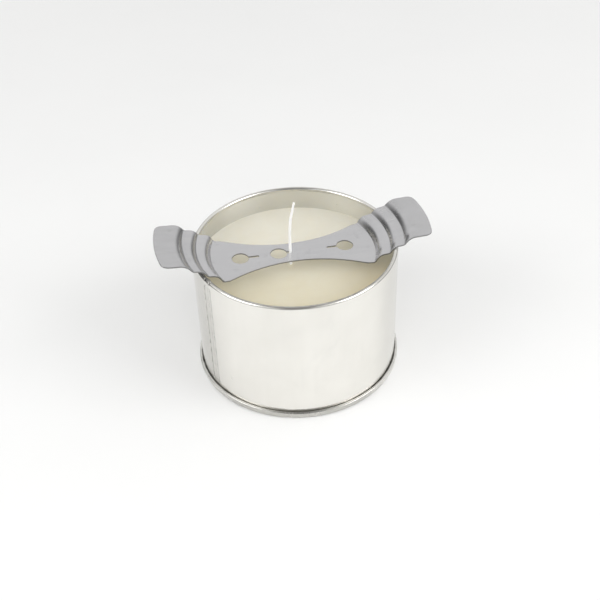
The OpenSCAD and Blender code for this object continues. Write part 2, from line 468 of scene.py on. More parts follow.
def ivory_wax():
    m = Material("ivory_wax")
    cloud = m.noise(m.position, scale=60.0, detail=5, rough=0.6, warp=0.6)
    fine = m.noise(m.position, scale=700.0, detail=4, rough=0.6)
    frost = m.noise(m.position, scale=150.0, detail=6, rough=0.7, warp=0.8).ease(0.5, 0.75)
    colour = m.mix(cloud.fade(0.35, 0.65), (0.52, 0.49, 0.415), (0.545, 0.52, 0.455))
    colour = m.mix(frost * 0.35, colour, (0.57, 0.555, 0.505))
    roughness = 0.36 + (frost * 0.12 + (fine - 0.5) * 0.08)
    swell = m.bump(m.noise(m.position, scale=70.0, detail=3), strength=0.10, distance=0.0006)
    normal = m.bump(fine, strength=0.10, distance=0.00005, normal=swell)
    x, y, _ = m.split(m.position)
    radius = m.radius(x, y)
    # painted light: the wax glows in place of light scattered through it, less at the front right,
    # where painted shade also makes it darker and yellower; a rim band towards the front is
    # yellower and darker, as painted warm shade
    front_right_shade = x.ease(4.0 * MM, 34.0 * MM) * y.ease(12.0 * MM, -6.0 * MM)
    painted_glow = front_right_shade.fade(0.0, 1.0, to=(0.235, 0.165))
    rim_shade = radius.ease(22.0 * MM, 37.8 * MM) * y.ease(8.0 * MM, -22.0 * MM)
    # painted light and shade: warm and darker at the front, cool and lighter at the back
    front, back = -24.0 * MM, 20.0 * MM
    colour = m.mix(y.ease(front, back),
                   m.tint(colour, (0.965, 0.945, 0.865)), m.tint(colour, (1.05, 1.07, 1.10)))
    colour = m.mix(front_right_shade, colour, m.tint(colour, (0.97, 0.925, 0.85)))
    colour = m.mix(rim_shade, colour, m.tint(colour, (0.99, 0.92, 0.78)))
    # painted light: the glow's colour, warmer at the front
    emission = m.mix(y.ease(front, back),
                     m.mix(cloud, (0.97, 0.885, 0.625), (0.97, 0.905, 0.655)),
                     m.mix(cloud, (0.98, 0.92, 0.72), (0.98, 0.94, 0.755)))
    m.set(Base_Color=colour, Roughness=roughness, Normal=normal, IOR=1.44,
          Subsurface_Weight=1.0, Subsurface_Radius=(1.0, 0.86, 0.62),
          Subsurface_Scale=radius.ease(31.0 * MM, 37.5 * MM, to=(0.012, 0.0006)),
          Emission_Color=emission, Emission_Strength=painted_glow)
    return m


def cotton():
    m = Material("white_cotton")
    fibre = m.noise(m.stretch(m.position, (1.0, 1.0, 0.35)),
                    scale=5200.0, detail=4, rough=0.7, warp=0.4)
    tone = m.noise(m.position, scale=600.0, detail=3)
    # painted light: the wick glows a little, to look brighter
    m.set(Base_Color=m.mix(tone.fade(0.35, 0.65), (0.955, 0.955, 0.94), (0.99, 0.99, 0.985)),
          Roughness=0.72, Normal=m.bump(fibre, strength=0.5, distance=0.00006),
          Subsurface_Weight=0.7, Subsurface_Radius=(1, 0.97, 0.93), Subsurface_Scale=0.0006,
          Sheen_Weight=0.3, Emission_Color=(1.0, 1.0, 0.985, 1), Emission_Strength=0.15)
    return m


def sealing_compound():
    m = Material("sealing_compound")
    grain = m.noise(m.position, scale=1500.0, detail=5, rough=0.65)
    m.set(Base_Color=m.mix(grain, (0.30, 0.295, 0.27), (0.42, 0.41, 0.38)),
          Roughness=grain.fade(0.3, 0.7, to=(0.55, 0.75)),
          Normal=m.bump(grain, strength=0.4, distance=0.00008))
    return m


def seam_cement():
    m = Material("seam_cement")
    grain = m.noise(m.stretch(m.position, (1, 1, 0.3)), scale=1200.0, detail=5, rough=0.6)
    m.set(Base_Color=m.mix(grain, (0.58, 0.55, 0.46), (0.70, 0.68, 0.60)),
          Roughness=grain.fade(0.3, 0.7, to=(0.35, 0.55)),
          Normal=m.bump(grain, strength=0.4, distance=0.00006))
    return m


def foot_metal():
    m = Material("foot_metal")
    grain = m.noise(m.position, scale=800.0, detail=5, rough=0.6)
    cloud = m.noise(m.position, scale=160.0, detail=3, warp=0.6)
    m.set(Base_Color=m.mix(cloud, (0.60, 0.60, 0.595), (0.74, 0.74, 0.73)), Metallic=1.0,
          Roughness=grain.fade(0.3, 0.7, to=(0.28, 0.42)),
          Normal=m.bump(grain, strength=0.15, distance=0.00004))
    return m


def adhesive_foam():
    m = Material("adhesive_foam")
    pores = m.cells(m.position, scale=3000.0)
    cloud = m.noise(m.position, scale=500.0, detail=4, rough=0.6)
    m.set(Base_Color=m.mix(cloud, (0.83, 0.82, 0.77), (0.92, 0.91, 0.87)),
          Roughness=0.8, Normal=m.bump(pores, strength=0.5, distance=0.00010))
    return m


# --------------------------------------------------------------------------------------
# the can's wall: body hook, wall with its folded seam, inward-rolled rim
# --------------------------------------------------------------------------------------
CURL_SWEEP = 285.0      # degrees
CURL_STEPS = 30


def wall_wave(angle, z):
    """Slight out-of-round and oil-canning of thin sheet."""
    envelope = ease(3.0, 12.0, z) * (1 - ease(44.0, 50.0, z))
    return envelope * (0.035 * np.sin(2 * angle + 0.6)
                       + 0.022 * np.sin(3 * angle + 2.1 + z * 0.03)
                       + 0.016 * np.sin(5 * angle - 0.7 - z * 0.05)
                       + 0.010 * np.sin(9 * angle + 1.3 + z * 0.09))


def segment_distance(x, z, start, end):
    dx, dz = end[0] - start[0], end[1] - start[1]
    t = np.clip(((x - start[0]) * dx + (z - start[1]) * dz) / (dx * dx + dz * dz), 0, 1)
    return np.hypot(x - start[0] - t * dx, z - start[1] - t * dz)


def seam_relief(arc, z):
    """Radial offset and darkness of the wall's outside, at an arc distance from the seam; the
    darkness is painted shade in the grooves, partly grime.
    """
    half = LOCK_WIDTH / 2
    folded = (ease(LOCK_BOTTOM + 0.2, LOCK_BOTTOM + 1.6, z)
              * (1 - ease(LOCK_TOP - 1.4, LOCK_TOP - 0.1, z)))
    band = ease(-half - 0.15, -half + 0.15, arc) * (1 - ease(half - 0.25, half + 0.25, arc))
    waver = 0.72 + 0.28 * np.sin(z * 1.9 + 0.4) * np.sin(z * 0.73 + 2.0)
    waver_right = 0.68 + 0.32 * np.sin(z * 1.37 + 2.1) * np.sin(z * 0.51 + 0.7)
    # shallow band with a groove along each edge and one near its middle
    offset = -folded * (0.05 * band + 0.14 * bell(arc + half, 0.26) + 0.06 * bell(arc - 0.35, 0.18)
                        + 0.09 * waver_right * bell(arc - half, 0.24))
    # painted shade in these grooves and over the band, partly grime, varying along the seam
    dark = folded * (0.85 * waver * bell(arc + half, 0.38)
                     + 0.34 * waver_right * bell(arc - 0.35, 0.24)
                     + 0.62 * waver_right * bell(arc - half, 0.32) + 0.17 * band)
    # painted shade, faint, on the negative side of the fold
    dark += 0.13 * ease(-15.0, -9.0, arc) * (arc < -half) * (1 - ease(50.0, 51.0, z))
    # corners of the notched lap at the top and the bottom of the fold, with painted shade in them
    for fold_z, lap_z in ((LOCK_TOP - 1.5, LOCK_TOP + 0.15),
                          (LOCK_BOTTOM + 1.7, LOCK_BOTTOM + 0.05)):
        for fold_arc, lap_arc in ((-half, -0.45), (half, 0.75)):
            distance = segment_distance(arc, z, (fold_arc, fold_z), (lap_arc, lap_z))
            offset -= 0.05 * bell(distance, 0.17)
            dark += 0.30 * bell(distance, 0.28)
    # the plain lap above and below
    offset -= 0.03 * bell(arc - 0.2, 0.15) * (1 - folded) * (np.abs(arc) < 3)
    return offset, np.clip(dark, 0, 1)


def foot_shade_strength(angle):
    """Strength of the painted shade at the foot of the can, heaviest to the left and the right."""
    return 0.14 + 0.80 * float(ease(0.35, 0.92, abs(math.cos(angle))))


def build_wall():
    # down the hook, inward, then up the wall: right of travel is outward on the wall
    path, path_normals = fillet_path(
        [(BODY_HOOK_R, BASE_SEAM_HEIGHT - 0.6), (BODY_HOOK_R, FOLD_Z),
         (WALL_R, FOLD_Z), (WALL_R, CURL_Z)],
        [0, 0.3, 0.25, 0], step=0.8)
    # above the foot, the wall has its own spacing: close near both ends
    foot = (path[:, 1] < 2.5) | (np.abs(path[:, 0] - WALL_R) > 1e-6)
    wall_z = np.concatenate([np.arange(2.55, 5.4, 0.15), np.arange(5.6, 47.4, 1.1),
                             np.arange(47.5, CURL_Z - 0.02, 0.15)])
    degrees = np.linspace(0, CURL_SWEEP, CURL_STEPS + 1)
    curl_normals = np.c_[np.cos(np.radians(degrees)), np.sin(np.radians(degrees))]
    middle = np.concatenate([path[foot], np.c_[np.full(len(wall_z), WALL_R), wall_z],
                             np.array([CURL_R, CURL_Z]) + CURL_RADIUS * curl_normals])
    normals = np.concatenate([path_normals[foot], np.tile([1.0, 0.0], (len(wall_z), 1)),
                              curl_normals])
    heights = middle[:, 1].copy()
    curl = slice(-(CURL_STEPS + 1), None)
    on_wall = (np.abs(middle[:, 0] - WALL_R) < 1e-6) & (heights > 0.9)
    on_wall[curl] = False
    lock_window = (ease(LOCK_BOTTOM, LOCK_BOTTOM + 0.5, heights)
                   * (1 - ease(LOCK_TOP - 0.5, LOCK_TOP, heights)))
    # painted shadow at the foot of the wall, just above the base seam
    foot_shadow = 0.9 * (1 - ease(2.6, 3.7, heights))
    # painted shade on the rolled rim: a dark line on its inner side and one where it meets the wall
    curl_shade = 0.55 * ease(150, 205, degrees) + 0.20 * (1 - ease(0, 28, degrees))
    curl_bulge = np.sin(math.pi * degrees / CURL_SWEEP)[:, None]
    phases = np.random.RandomState(7).uniform(0, 6.28, 6)

    # painted shade on the seam, at the foot and on the rolled rim, in the seam partly grime; darker
    # at the lap, and at the front the rim's inner side is darkened to narrow its highlight
    def wall_shade_and_grime(angle, arc, seam_shade_grime):
        shade_at_foot = foot_shade_strength(angle) * (1.0 + 0.4 * math.sin(angle * 37) * math.sin(angle * 11 + 1))
        lap = (bell(arc - 1.7, 0.42) + 0.8 * bell(arc + 1.5, 0.36)
               + 0.5 * bell(arc - 0.2, 0.25) + 0.25 * bell(arc - 0.2, 2.4))
        front = float(ease(0.1, 0.7, -math.sin(angle)))
        sway = 7.0 * math.sin(13 * angle + 0.4) + 5.0 * math.sin(29 * angle + 1.7)
        outer = np.where(on_wall, seam_shade_grime + foot_shadow * shade_at_foot, 0.0)
        outer[curl] += (0.8 * lap + curl_shade * (1.0 + 0.35 * math.sin(9 * angle + 2.0))
                        + front * (0.06 + 0.72 * ease(60 + sway, 98 + sway, degrees)))
        inner = np.zeros(len(middle))
        inner[curl] = 0.5 * lap
        return np.clip(np.concatenate([outer, inner[::-1]]), 0, 1)

    def section(angle):
        arc = seam_arc(angle)
        outer = middle + normals * (SHEET / 2)
        inner = middle - normals * (SHEET / 2)
        wave = wall_wave(angle, heights)
        relief, seam_shade_grime = seam_relief(arc, heights)
        half = LOCK_WIDTH / 2
        fold = (ease(-half - 0.18, -half + 0.12, arc)
                * (1 - ease(half - 0.12, half + 0.18, arc)))
        outer[:, 0] += on_wall * (relief + wave)
        inner[:, 0] += on_wall * (wave - 3 * SHEET * fold * lock_window)
        # the rolled rim: a slight unevenness, and a step where the lapped ends meet
        uneven = (0.018 * math.sin(4 * angle + phases[0]) + 0.012 * math.sin(11 * angle + phases[1])
                  + 0.007 * math.sin(23 * angle + phases[2]))
        lump = (0.16 * bell(arc - 0.3, 1.5) - 0.32 * bell(arc - 1.7, 0.24)
                - 0.20 * bell(arc + 1.5, 0.22))
        outer[curl] += curl_normals * (lump + uneven) * curl_bulge
        outer[curl, 1] += uneven * 0.5
        inner[curl, 1] += uneven * 0.5
        return np.concatenate([outer, inner[::-1]]), wall_shade_and_grime(angle, arc, seam_shade_grime)

    verts, faces, groove = revolve(seam_angles(3.6, 0.09, 0.9), section)
    return make_mesh("mold_wall_shell", verts, faces, 50, groove=groove)


# --------------------------------------------------------------------------------------
# the base: raised panel, countersink and the rolled seam round its foot
# --------------------------------------------------------------------------------------
def build_base():
    # outward along the panel, down, outward, up, in, down: right of travel is below or outside
    path, normals = fillet_path(
        [(0.6, PANEL_Z), (CHUCK_R, PANEL_Z), (CHUCK_R, SHEET / 2), (COVER_R, SHEET / 2),
         (COVER_R, BASE_SEAM_HEIGHT - SHEET / 2), (COVER_HOOK_R, BASE_SEAM_HEIGHT - SHEET / 2),
         (COVER_HOOK_R, FOLD_Z + SHEET / 2 + 0.25)],
        [0, 0.55, 0.32, 0.62, 0.36, 0.16, 0], step=0.5)
    radius, heights = path.T
    seam_weight = ease(COVER_HOOK_R + 0.2, COVER_R, radius)
    top_weight = seam_weight * ease(1.5, 2.3, heights)
    # painted shadow in the gap between the wall and the top of the base seam
    dark = (1 - ease(38.35, 38.95, radius)) * ease(1.2, 2.0, heights) * (radius > 38.0)

    def section(angle):
        outer = path + normals * SHEET / 2
        inner = path - normals * SHEET / 2
        # thicker where the side seam crosses, and a faint rolling ripple
        swell = (0.10 * bell(seam_arc(angle), 2.4) + 0.012 * math.sin(31 * angle)
                 + 0.010 * math.sin(17 * angle + 1.0) + 0.015 * math.sin(3 * angle))
        outer[:, 0] += swell * seam_weight
        inner[:, 0] += swell * seam_weight * 0.5
        ripple = 0.03 * math.sin(13 * angle + 0.5) + 0.025 * math.sin(5 * angle)
        outer[:, 1] += ripple * top_weight
        inner[:, 1] += ripple * top_weight
        # painted shade at the foot, heaviest to the left and the right
        shade_at_foot = foot_shade_strength(angle) * (1.0 + 0.35 * math.sin(angle * 29 + 1) * math.sin(angle * 7))
        groove = np.clip(np.concatenate([dark * shade_at_foot, dark[::-1]]), 0, 1)
        return np.concatenate([outer, inner[::-1]]), groove

    angles = seam_angles(5.0, 0.25, 1.1)
    verts, faces, groove = revolve(angles, section, closed=False)
    # close the small hole at the centre of the panel with two fans
    size = 2 * len(path)
    below = len(verts)
    verts = np.vstack([verts, [0, 0, PANEL_Z - SHEET / 2], [0, 0, PANEL_TOP]])
    for i in range(len(angles)):
        a, b = i * size, ((i + 1) % len(angles)) * size
        faces.append((below, b, a))
        faces.append((below + 1, a + size - 1, b + size - 1))
    return make_mesh("mold_base_pan", verts, faces, 50, groove=np.append(groove, [0, 0]))


# --------------------------------------------------------------------------------------
# the poured wax
# --------------------------------------------------------------------------------------
WAX_R = WALL_INSIDE_R - 0.02
WAX_FIT_R = 34      # outside this the rings close up to clear the seam's fold


def wax_edge(angle):
    """Radius of the wax, notched round the inside of the seam's fold."""
    arc = seam_arc(angle)
    half = LOCK_WIDTH / 2
    fold = float(ease(-half - 0.40, -half - 0.10, arc) * (1 - ease(half + 0.10, half + 0.40, arc)))
    return WAX_R - (3 * SHEET + 0.02) * fold


def wax_top(x, y, to_edge):
    """Height of the wax: creeping up its edge and the wick, dished, and gently uneven."""
    to_wick = np.hypot(x - WICK_X, y - WICK_Y)
    return (WAX_Z + 0.12 * np.exp(-to_edge / 0.45)
            + 0.55 * np.exp(-np.maximum(to_wick - 0.45, 0) / 0.45)
            - 0.10 * bell(to_wick, 11.0)
            + 0.035 * np.sin(x * 0.16 + 0.8) * np.cos(y * 0.13 - 0.4)
            + 0.012 * np.sin(x * 0.5 + y * 0.37 + 1.0))


def build_wax():
    rings = np.concatenate([[0.25], np.arange(0.5, 6.0, 0.25), np.arange(6.0, 35.5, 0.9),
                            np.linspace(35.6, WAX_R, 16)])
    side_z = np.concatenate([np.linspace(WAX_Z - 0.4, WAX_Z - 4, 6),
                             np.linspace(WAX_Z - 8, PANEL_TOP + 1.0, 12), [PANEL_TOP + 0.1]])
    bottom_z = PANEL_TOP + 0.02
    angles = seam_angles(4.0, 0.2, 1.3)
    size = len(rings) + len(side_z) + 1
    verts, faces = [], []
    for angle in angles:
        edge = wax_edge(angle)
        c, s = math.cos(angle), math.sin(angle)
        fitted = WAX_FIT_R + (rings - WAX_FIT_R) * (edge - WAX_FIT_R) / (WAX_R - WAX_FIT_R)
        radius = np.where(rings > WAX_FIT_R, fitted, rings)
        x, y = radius * c, radius * s
        verts.extend(np.c_[x, y, wax_top(x, y, edge - radius)])
        verts.extend((edge * c, edge * s, z) for z in side_z)
        verts.append(((edge - 1.2) * c, (edge - 1.2) * s, bottom_z))
    starts = [(i * size, ((i + 1) % len(angles)) * size) for i in range(len(angles))]
    for a, b in starts:
        for j in range(size - 1):
            faces.append((a + j, a + j + 1, b + j + 1, b + j))
    top = len(verts)
    verts += [(0, 0, WAX_Z - 0.06), (0, 0, bottom_z)]
    for a, b in starts:
        faces.append((top, a, b))
        faces.append((top + 1, b + size - 1, a + size - 1))
    return make_mesh("wax_candle", verts, faces, 60)


# --------------------------------------------------------------------------------------
# the wick: an eight-strand braid
# --------------------------------------------------------------------------------------
WICK_BOTTOM, WICK_TOP = 3.2, 69.75
BRAID_BOTTOM = 40.6
BRAID_PITCH = 4.6       # height in which a strand winds once round

# centre line of the wick: height, lean towards +X
WICK_LEAN = np.array([
    (0.0, 0.0), (30.0, 0.0), (41.8, 0.0), (47.7, 0.0), (51.0, 0.01), (54.3, 0.035),
    (57.5, 0.13), (60.6, 0.32), (63.0, 0.62), (65.2, 1.08), (67.6, 1.58), (69.9, 2.05)])


def wick_axis(z):
    """Centre line of the wick at height z, by a monotone cubic through WICK_LEAN."""
    z = np.asarray(z, float)
    knots, lean = WICK_LEAN.T
    gaps = np.diff(knots)
    slopes = np.diff(lean) / gaps
    tangents = np.zeros_like(lean)
    tangents[0], tangents[-1] = slopes[0], slopes[-1]
    for i in range(1, len(lean) - 1):
        before, after = slopes[i - 1], slopes[i]
        tangents[i] = 0 if before * after <= 0 else 2 * before * after / (before + after)
    i = np.clip(np.searchsorted(knots, z) - 1, 0, len(gaps) - 1)
    t = (z - knots[i]) / gaps[i]
    x = ((2 * t ** 3 - 3 * t ** 2 + 1) * lean[i]
         + (t ** 3 - 2 * t ** 2 + t) * gaps[i] * tangents[i]
         + (-2 * t ** 3 + 3 * t ** 2) * lean[i + 1]
         + (t ** 3 - t ** 2) * gaps[i] * tangents[i + 1])
    return WICK_X + x, WICK_Y + 0.12 * ease(56, 70, z)


def add_tube(verts, faces, points, radii, sides, squash=1.0):
    """Capped tube along points; squash flattens it in the direction away from the wick's axis."""
    tangents = np.gradient(points, axis=0)
    tangents /= np.linalg.norm(tangents, axis=1)[:, None]
    base = len(verts)
    for point, tangent, radius in zip(points, tangents, radii):
        axis_x, axis_y = wick_axis(point[2])
        outward = np.array([point[0] - axis_x, point[1] - axis_y, 0.0])
        if np.linalg.norm(outward) < 1e-6:
            outward = np.array([1.0, 0, 0])
        outward -= tangent * (outward @ tangent)
        outward /= np.linalg.norm(outward)
        sideways = np.cross(tangent, outward)
        for k in range(sides):
            turn = 2 * math.pi * k / sides
            verts.append(tuple(point + outward * math.cos(turn) * radius * squash
                               + sideways * math.sin(turn) * radius))
    last = base + (len(points) - 1) * sides
    for row in range(base, last, sides):
        for k in range(sides):
            k2 = (k + 1) % sides
            faces.append((row + k, row + k2, row + sides + k2, row + sides + k))
    faces.append(tuple(base + k for k in range(sides))[::-1])
    faces.append(tuple(last + k for k in range(sides)))


def around_wick(axis_z, radius, angle, z):
    """Points at a radius and angle from the wick's centre line at axis_z, put at height z."""
    x, y = wick_axis(axis_z)
    return np.c_[x + radius * np.cos(angle), y + radius * np.sin(angle), z]


def build_wick():
    verts, faces = [], []
    # core, thicker inside the wax
    z = np.concatenate([np.linspace(WICK_BOTTOM, 40.5, 12), np.arange(41.0, WICK_TOP - 0.6, 0.5)])
    add_tube(verts, faces, np.c_[(*wick_axis(z), z)], np.where(z < 40.8, 0.47, 0.27), 12)
    rng = np.random.RandomState(3)
    for k in range(8):
        direction = 1 if k % 2 == 0 else -1
        phase = (k // 2) * math.pi / 2 + (math.pi / 4 if direction < 0 else 0)
        top = WICK_TOP - rng.uniform(0.0, 0.45)
        z = np.arange(BRAID_BOTTOM, top, 0.16)
        angle = phase + direction * 2 * math.pi * z / BRAID_PITCH
        # over and under the strands that wind the other way
        weave = np.cos(4 * 2 * math.pi * z / BRAID_PITCH + (0 if direction > 0 else math.pi))
        fray = ease(WICK_TOP - 1.3, WICK_TOP, z) * rng.uniform(0.02, 0.10)
        # pinched at the bar, tapering to the tip
        neck = (1.02 - 0.11 * bell(z - 47.58, 0.75)) * (1 - 0.20 * ease(63.0, 69.5, z))
        radius = (0.335 + 0.058 * weave + fray) * neck + 0.012 * np.sin(z * 3.1 + k)
        thickness = 0.172 * neck * (1 - 0.45 * ease(top - 0.9, top, z))
        add_tube(verts, faces, around_wick(z, radius, angle, z), thickness, 8, squash=0.82)
    # loose fibres: the first at the cut tip, the rest along the braid
    tip_fibres = 16
    t = np.linspace(0, 1, 7)
    for k in range(26):
        angle = rng.uniform(0, 2 * math.pi)
        if k < tip_fibres:
            start = WICK_TOP - rng.uniform(0.2, 1.0)
            length, spread = rng.uniform(0.35, 0.85), rng.uniform(0.1, 0.5) * 0.12
        else:
            start = rng.uniform(44, WICK_TOP - 2)
            length, spread = rng.uniform(0.3, 0.7), rng.uniform(0.5, 1.1) * 0.35
        z = start + t * length
        points = around_wick(z, 0.33 + spread * t ** 1.6, angle + 0.4 * t, np.minimum(z, 69.88))
        add_tube(verts, faces, points, 0.018 * (1 - 0.5 * t), 4)
    return make_mesh("braided_wick", verts, faces, 70)


# --------------------------------------------------------------------------------------
# the wick bar: a waisted plate whose wings climb three steps, concentric with its middle
# --------------------------------------------------------------------------------------
STEP_SHIFT = 0.165      # added to every step's radius
# radius at the step's foot, its run, the height it reaches, fillet at its foot and at its top
STEPS = (
    (RIM_RADIUS - 7.4, 1.25, 3.4, 1.0, 3.0),
    (RIM_RADIUS - 2.4, 1.4, 6.3, 1.1, 3.2),
    (RIM_RADIUS + 2.5, 1.7, 9.4, 1.3, 4.2),
)
FLAT_R = 27.0           # the plate is level inside this radius
WEB_R = 29.4            # the wings' regular grid starts here, the web lies inside

# dents in the right wing: radius, offset across the bar, depth
DENTS = ((32.0, -9.2, 0.40), (36.6, -11.0, 0.66), (41.6, -11.0, 0.70))

# centre along the bar, side its slot points to, reach of the slot, half the slot's width
KEYHOLES = ((-19.8, 1, 7.0, 0.45), (-5.4, 1, 4.93, 0.5), (19.8, -1, 7.0, 0.45))

# rounded cut edge from the top to the underside: inset of the outline, height in the sheet
EDGE_LEVELS = (
    (0.13, BAR_SHEET), (0.075, BAR_SHEET - 0.012), (0.035, BAR_SHEET - 0.04),
    (0.01, BAR_SHEET - 0.085), (0.0, BAR_SHEET - 0.15), (0.0, 0.07), (0.012, 0.03), (0.045, 0.0))
WING_COLUMNS = 57
WAIST_POINTS = 61


def step_path():
    corners, fillets, level = [(20, 0)], [0], 0
    for foot, run, height, foot_fillet, top_fillet in STEPS:
        corners += [(foot + STEP_SHIFT, level), (foot + run + STEP_SHIFT, height)]
        fillets += [foot_fillet, top_fillet]
        level = height
    return fillet_path(corners + [(52.0, level)], fillets + [0], step=0.02)[0]


# the steps' height and slope by radius, pressed sharp and drawn softer: the press bottoms out
# better on some parts than others
BAR_PATH = step_path()
PROFILE_R = np.arange(24.0, 56.0, 0.02)
SHARP_Z = np.interp(PROFILE_R, BAR_PATH[:, 0], BAR_PATH[:, 1])
BLUR = np.exp(-0.5 * (np.arange(-150, 151) * 0.02 / 0.85) ** 2)
SOFT_Z = np.convolve(np.pad(SHARP_Z, 150, mode="edge"), BLUR / BLUR.sum(), mode="valid")
SHARP_SLOPE = np.gradient(SHARP_Z, 0.02)
SOFT_SLOPE = np.gradient(SOFT_Z, 0.02)


def step_value(radius, softness, sharp, soft):
    """A sharp and a soft profile blended at a radius; 0 on the level middle."""
    blend = ((1 - softness) * np.interp(radius, PROFILE_R, sharp)
             + softness * np.interp(radius, PROFILE_R, soft))
    return np.where(radius < FLAT_R, 0.0, blend)


def step_softness(along, across):
    right = ease(0.0, 10.0, along)
    far = ease(-9.0, 12.0, across)
    edge = ease(8.5, 13.0, np.abs(across))
    return 0.22 + 0.22 * edge * (1 - right) + right * (0.05 + 0.37 * far)


def dent_depth(along, across, radial_width, across_width):
    radius = np.hypot(along, across)
    return sum(depth * bell(radius - dent_r - 0.12 * (across - dent_across), radial_width)
               * bell(across - dent_across, across_width) * (along > 0)
               for dent_r, dent_across, depth in DENTS)


def bar_form(along, across, height):
    """Plan point and height in the sheet (0 underside, BAR_SHEET top) to bar coordinates."""
    radius = np.hypot(along, across)
    safe_radius = np.maximum(radius, 1e-6)
    softness = step_softness(along, across)
    z = step_value(radius, softness, SHARP_Z, SOFT_Z)
    slope = step_value(radius, softness, SHARP_SLOPE, SOFT_SLOPE)
    # ends curve up, the right wing is dented, and the sheet isn't quite flat
    z = z + 0.30 * ease(43.5, 51, radius) ** 1.5
    z = z - dent_depth(along, across, 0.48, 1.10)
    z = (z + 0.035 * np.sin(along * 0.11 + 0.5) * np.cos(across * 0.17)
         + 0.02 * np.sin(across * 0.3 + along * 0.05))
    offset = (height - BAR_SHEET / 2) / np.sqrt(1 + slope * slope)
    return (along - slope * (along / safe_radius) * offset,
            across - slope * (across / safe_radius) * offset,
            z + offset + BAR_SHEET / 2)


def edge_and_shade_darkness(along, across, height):
    """1 on the cut edge, dark as sheared metal and as painted shade; elsewhere painted shade in the
    dents and a painted dark reflection on the right wing's steps.
    """
    cut = 1.0 if 0.001 < height < BAR_SHEET - 0.02 else 0.0
    radius = np.hypot(along, across)
    steep = np.abs(step_value(radius, 0.5, SHARP_SLOPE, SOFT_SLOPE))
    # painted reflection: darker on the right wing's steps towards the far side
    step_shade = (0.30 * np.clip(steep / 1.6, 0, 1)
             * ease(2.0, 11.5, across + 0.8 * np.sin(radius * 2.1)) * (along > 0))
    return np.maximum(cut, np.clip(dent_depth(along, across, 0.55, 1.25) * 1.5 + step_shade, 0, 1))


def polar(radius, angle):
    return radius * math.cos(angle), radius * math.sin(angle)


def half_width(radius, inset):
    return BAR_WIDTH / 2 - inset - 0.60 * (1 - float(ease(28.3, 32.3, radius)))


def half_angle(radius, inset):
    """Half of the angle the bar's outline spans at a radius."""
    width = half_width(radius, inset)
    corner_across = BAR_WIDTH / 2 - CORNER_RADIUS
    corner_r = BAR_LENGTH / 2 - CORNER_RADIUS
    corner_along = math.sqrt(corner_r * corner_r - corner_across * corner_across)
    fillet = CORNER_RADIUS - inset
    if radius <= math.hypot(corner_along, width):
        return math.asin(width / radius)
    cosine = ((radius * radius + corner_r * corner_r - fillet * fillet)
              / (2 * radius * corner_r))
    return math.atan2(corner_across, corner_along) + math.acos(max(-1.0, min(1.0, cosine)))


def wing_radii(inset):
    """Radii of the wing's rows: evenly along the stepped sheet, then closing up to the end."""
    radii, travelled = [WEB_R], 0.0
    steps = BAR_PATH[BAR_PATH[:, 0] > WEB_R]
    for a, b in zip(steps[:-1], steps[1:]):
        travelled += np.linalg.norm(b - a)
        spacing = 0.30 if b[0] < 44.0 else 0.75
        if travelled >= spacing and b[0] < 47.2:
            radii.append(b[0])
            travelled = 0.0
    for t in np.linspace(0, 1, 11)[1:]:
        # closer together towards the rounded corners
        closing = 1 - (1 - t) ** 1.8
        radii.append(47.6 + (BAR_LENGTH / 2 - inset - 47.6) * closing)
    return np.array(radii)


def keyhole(inset, centre, side, reach, slot_half):
    """Counter-clockwise outline of a keyhole."""
    radius, half = KEYHOLE_RADIUS + inset, slot_half + inset
    mouth = math.asin(half / radius)
    points = [polar(radius, a) for a in np.linspace(mouth, 2 * math.pi - mouth, 40)]
    mouth_x = radius * math.cos(mouth)
    slot_end = reach - slot_half
    points += [(x, -half) for x in np.linspace(mouth_x, slot_end, 8)[1:]]
    points += [(slot_end + half * math.cos(a), half * math.sin(a))
               for a in np.linspace(-math.pi / 2, math.pi / 2, 9)[1:-1]]
    points += [(x, half) for x in np.linspace(slot_end, mouth_x, 8)[:-1]]
    points = np.array(points)
    if side < 0:
        points = (points * [-1, 1])[::-1]
    return points + [centre, 0]


def waist(inset, side):
    """Waist outline from the right wing's corner to the left wing's; side is the sign of v."""
    corner = half_width(WEB_R, 0.0)
    end = math.sqrt(WEB_R * WEB_R - corner * corner)
    along = np.linspace(end, -end, WAIST_POINTS)
    arc = (WAIST_WIDTH / 2 + WAIST_RADIUS) - np.sqrt(WAIST_RADIUS ** 2 - np.abs(along) ** 2)
    # smooth minimum of the waist's arc and the straight side
    blend = 0.60
    across = -blend * np.log(np.exp(-arc / blend) + np.exp(-(BAR_WIDTH / 2) / blend))
    across[0] = across[-1] = corner
    points = np.c_[along, across]
    heading = np.gradient(points, axis=0)
    heading /= np.linalg.norm(heading, axis=1)[:, None]
    normals = np.c_[heading[:, 1], -heading[:, 0]]
    normals *= np.sign(normals[:, 1])[:, None]
    points = points - normals * inset
    inset_end = math.sqrt(WEB_R * WEB_R - (corner - inset) ** 2)
    points[0], points[-1] = (inset_end, corner - inset), (-inset_end, corner - inset)
    points[:, 1] *= side
    return points


def waists(inset):
    """Both waist outlines without their ends, in the order the bar's outline meets them."""
    return waist(inset, 1)[1:-1], waist(inset, -1)[::-1][1:-1]


def bar_outline(inset):
    """The whole outline, counter-clockwise."""
    radii = wing_radii(inset)
    halves = [half_angle(radius, inset) for radius in radii]
    lower = [polar(radius, -half) for radius, half in zip(radii, halves)]
    end = [polar(radii[-1], a) for a in np.linspace(-halves[-1], halves[-1], WING_COLUMNS)[1:]]
    upper = [polar(radius, half) for radius, half in list(zip(radii, halves))[::-1][1:]]
    right = np.array(lower + end + upper)
    upper_waist, lower_waist = waists(inset)
    return np.concatenate([right, upper_waist, -right, lower_waist])


